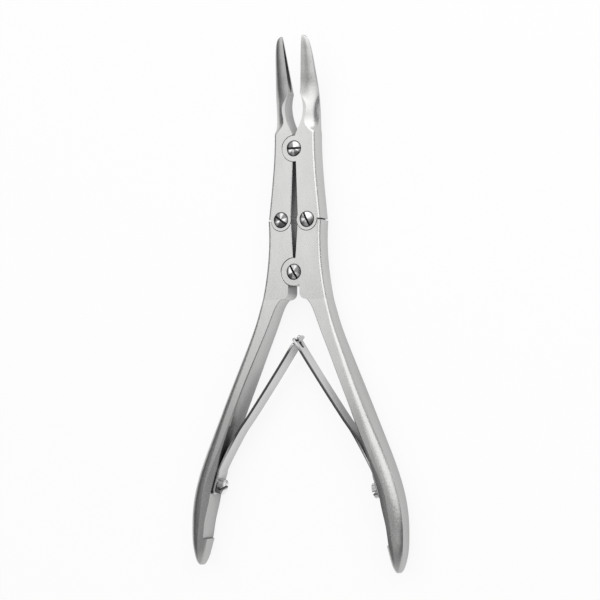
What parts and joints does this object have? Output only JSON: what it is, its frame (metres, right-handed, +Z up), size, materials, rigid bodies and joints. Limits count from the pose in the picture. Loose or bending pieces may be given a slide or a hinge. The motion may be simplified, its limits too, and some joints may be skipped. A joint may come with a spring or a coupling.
{
  "type": "bone rongeur",
  "caption": "Double-action bone rongeur: two angled spoon-shaped biting jaws on a flat boxed joint, with sprung handles, lying open.",
  "frame": {"origin": "under the middle of the tool, on the surface that it lies on", "axes": "+Y towards the jaws, +X towards the right handle as seen from the front, +Z up out of the front face"},
  "size_m": [0.081, 0.1852, 0.0109],
  "materials": {
    "satin_steel": "satin, fine brushed grain along the tool",
    "spring_steel": "satin, polished flats",
    "polished_steel": "polished"
  },
  "bodies": {
    "left_handle": {"left_handle": "satin_steel", "handle_pivot_screw": "polished_steel", "left_link_screw": "polished_steel", "left_spring": "spring_steel", "left_spring_screw": "polished_steel"},
    "right_handle": {"right_handle": "satin_steel", "right_link_screw": "polished_steel", "right_spring": "spring_steel", "right_spring_screw": "polished_steel"},
    "left_jaw": {"left_jaw": "satin_steel", "jaw_pivot_screw": "polished_steel"},
    "right_jaw": {"right_jaw": "satin_steel"}
  },
  "joints": [
    {"name": "handle_squeeze", "type": "hinge", "parent": "left_handle", "child": "right_handle", "pos_m": [0, 0.01014, 0.00544], "axis": [0, 0, -1], "range_deg": [0, 14.9], "stiffness_Nm_per_rad": 3, "springref_deg": -4.58, "deforming": ["left_spring", "right_spring"]},
    {"name": "left_jaw_swing", "type": "hinge", "parent": "left_handle", "child": "left_jaw", "pos_m": [-0.005, 0.02836, 0.00544], "axis": [0, 0, -1], "range_deg": [0, 12.86]},
    {"name": "right_jaw_swing", "type": "hinge", "parent": "right_handle", "child": "right_jaw", "pos_m": [0.005, 0.02836, 0.00544], "axis": [0, 0, 1], "range_deg": [0, 12.86]}
  ],
  "couplings": [
    {"joint": "left_jaw_swing", "follows": "handle_squeeze", "ratio": 0.8624},
    {"joint": "right_jaw_swing", "follows": "handle_squeeze", "ratio": 0.8624}
  ]
}
